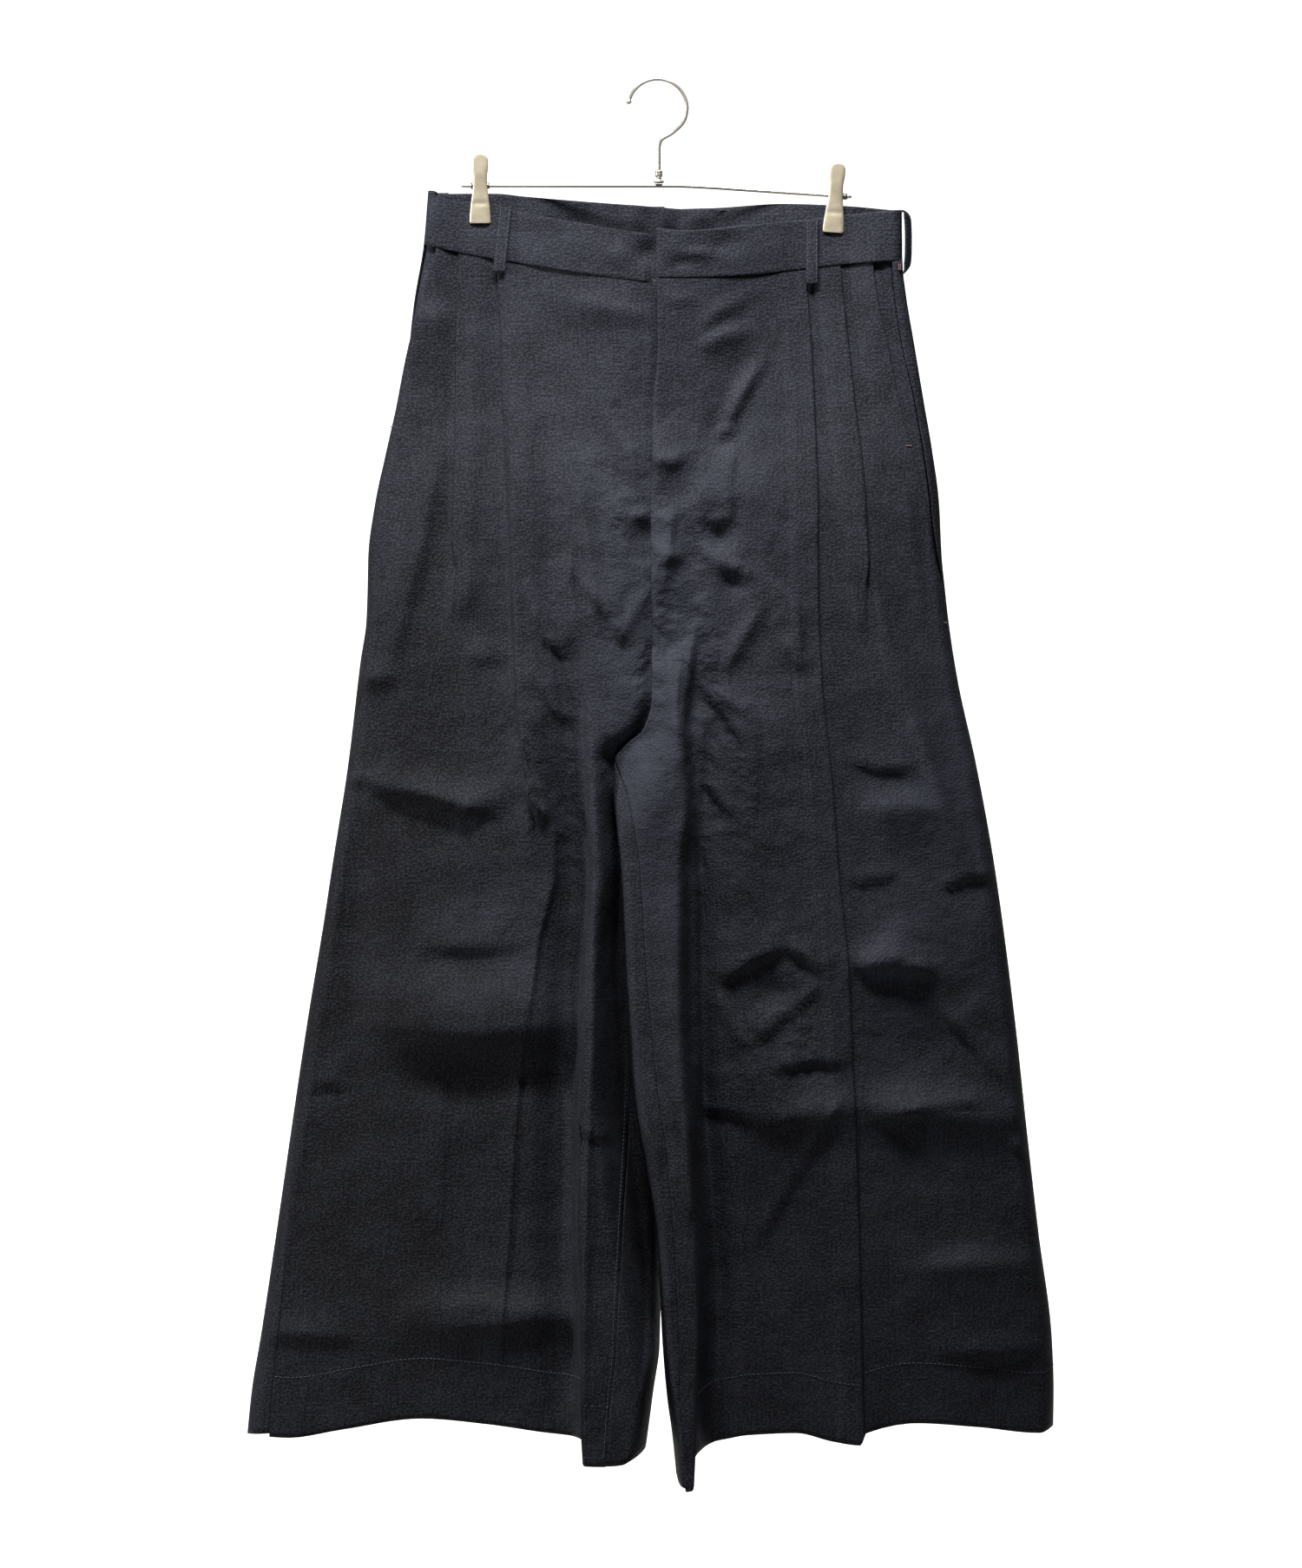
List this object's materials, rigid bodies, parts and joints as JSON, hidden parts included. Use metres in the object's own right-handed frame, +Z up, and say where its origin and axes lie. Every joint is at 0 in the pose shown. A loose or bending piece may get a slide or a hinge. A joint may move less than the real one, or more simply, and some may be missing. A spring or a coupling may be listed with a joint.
{
  "type": "wide-leg pleated jeans on a clip hanger",
  "caption": "Dark indigo wide-leg denim trousers with pleated fronts, hanging by the waistband from the clips of a wire hook trouser hanger.",
  "frame": {"origin": "inner top of the hanger's hook, where it rests on a rail", "axes": "+Z up along the hook's stem and the garment's length, +X to the wearer's left, +Y from the wearer's front to the back"},
  "size_m": [0.6438, 0.1488, 1.1279],
  "materials": {
    "denim": "dark indigo denim with a slight sheen",
    "steel_wire": "bright plated wire",
    "satin_clip": "satin champagne plating"
  },
  "bodies": {
    "root": {"front_left": "denim", "front_right": "denim", "back_left": "denim", "back_right": "denim", "pocket_facing_left": "denim", "pocket_facing_right": "denim", "waistband_front_left": "denim", "waistband_front_right": "denim", "waistband_back": "denim", "belt_loop_front_left": "denim", "belt_loop_front_right": "denim", "belt_loop_side_left": "denim", "belt_loop_side_right": "denim", "belt_loop_back": "denim", "hanger_hook": "steel_wire", "hanger_ferrule": "steel_wire", "hanger_rod": "steel_wire", "clip_right_front": "satin_clip", "clip_right_back": "satin_clip", "clip_right_sleeve": "satin_clip", "clip_left_front": "satin_clip", "clip_left_back": "satin_clip", "clip_left_sleeve": "satin_clip"}
  },
  "joints": []
}
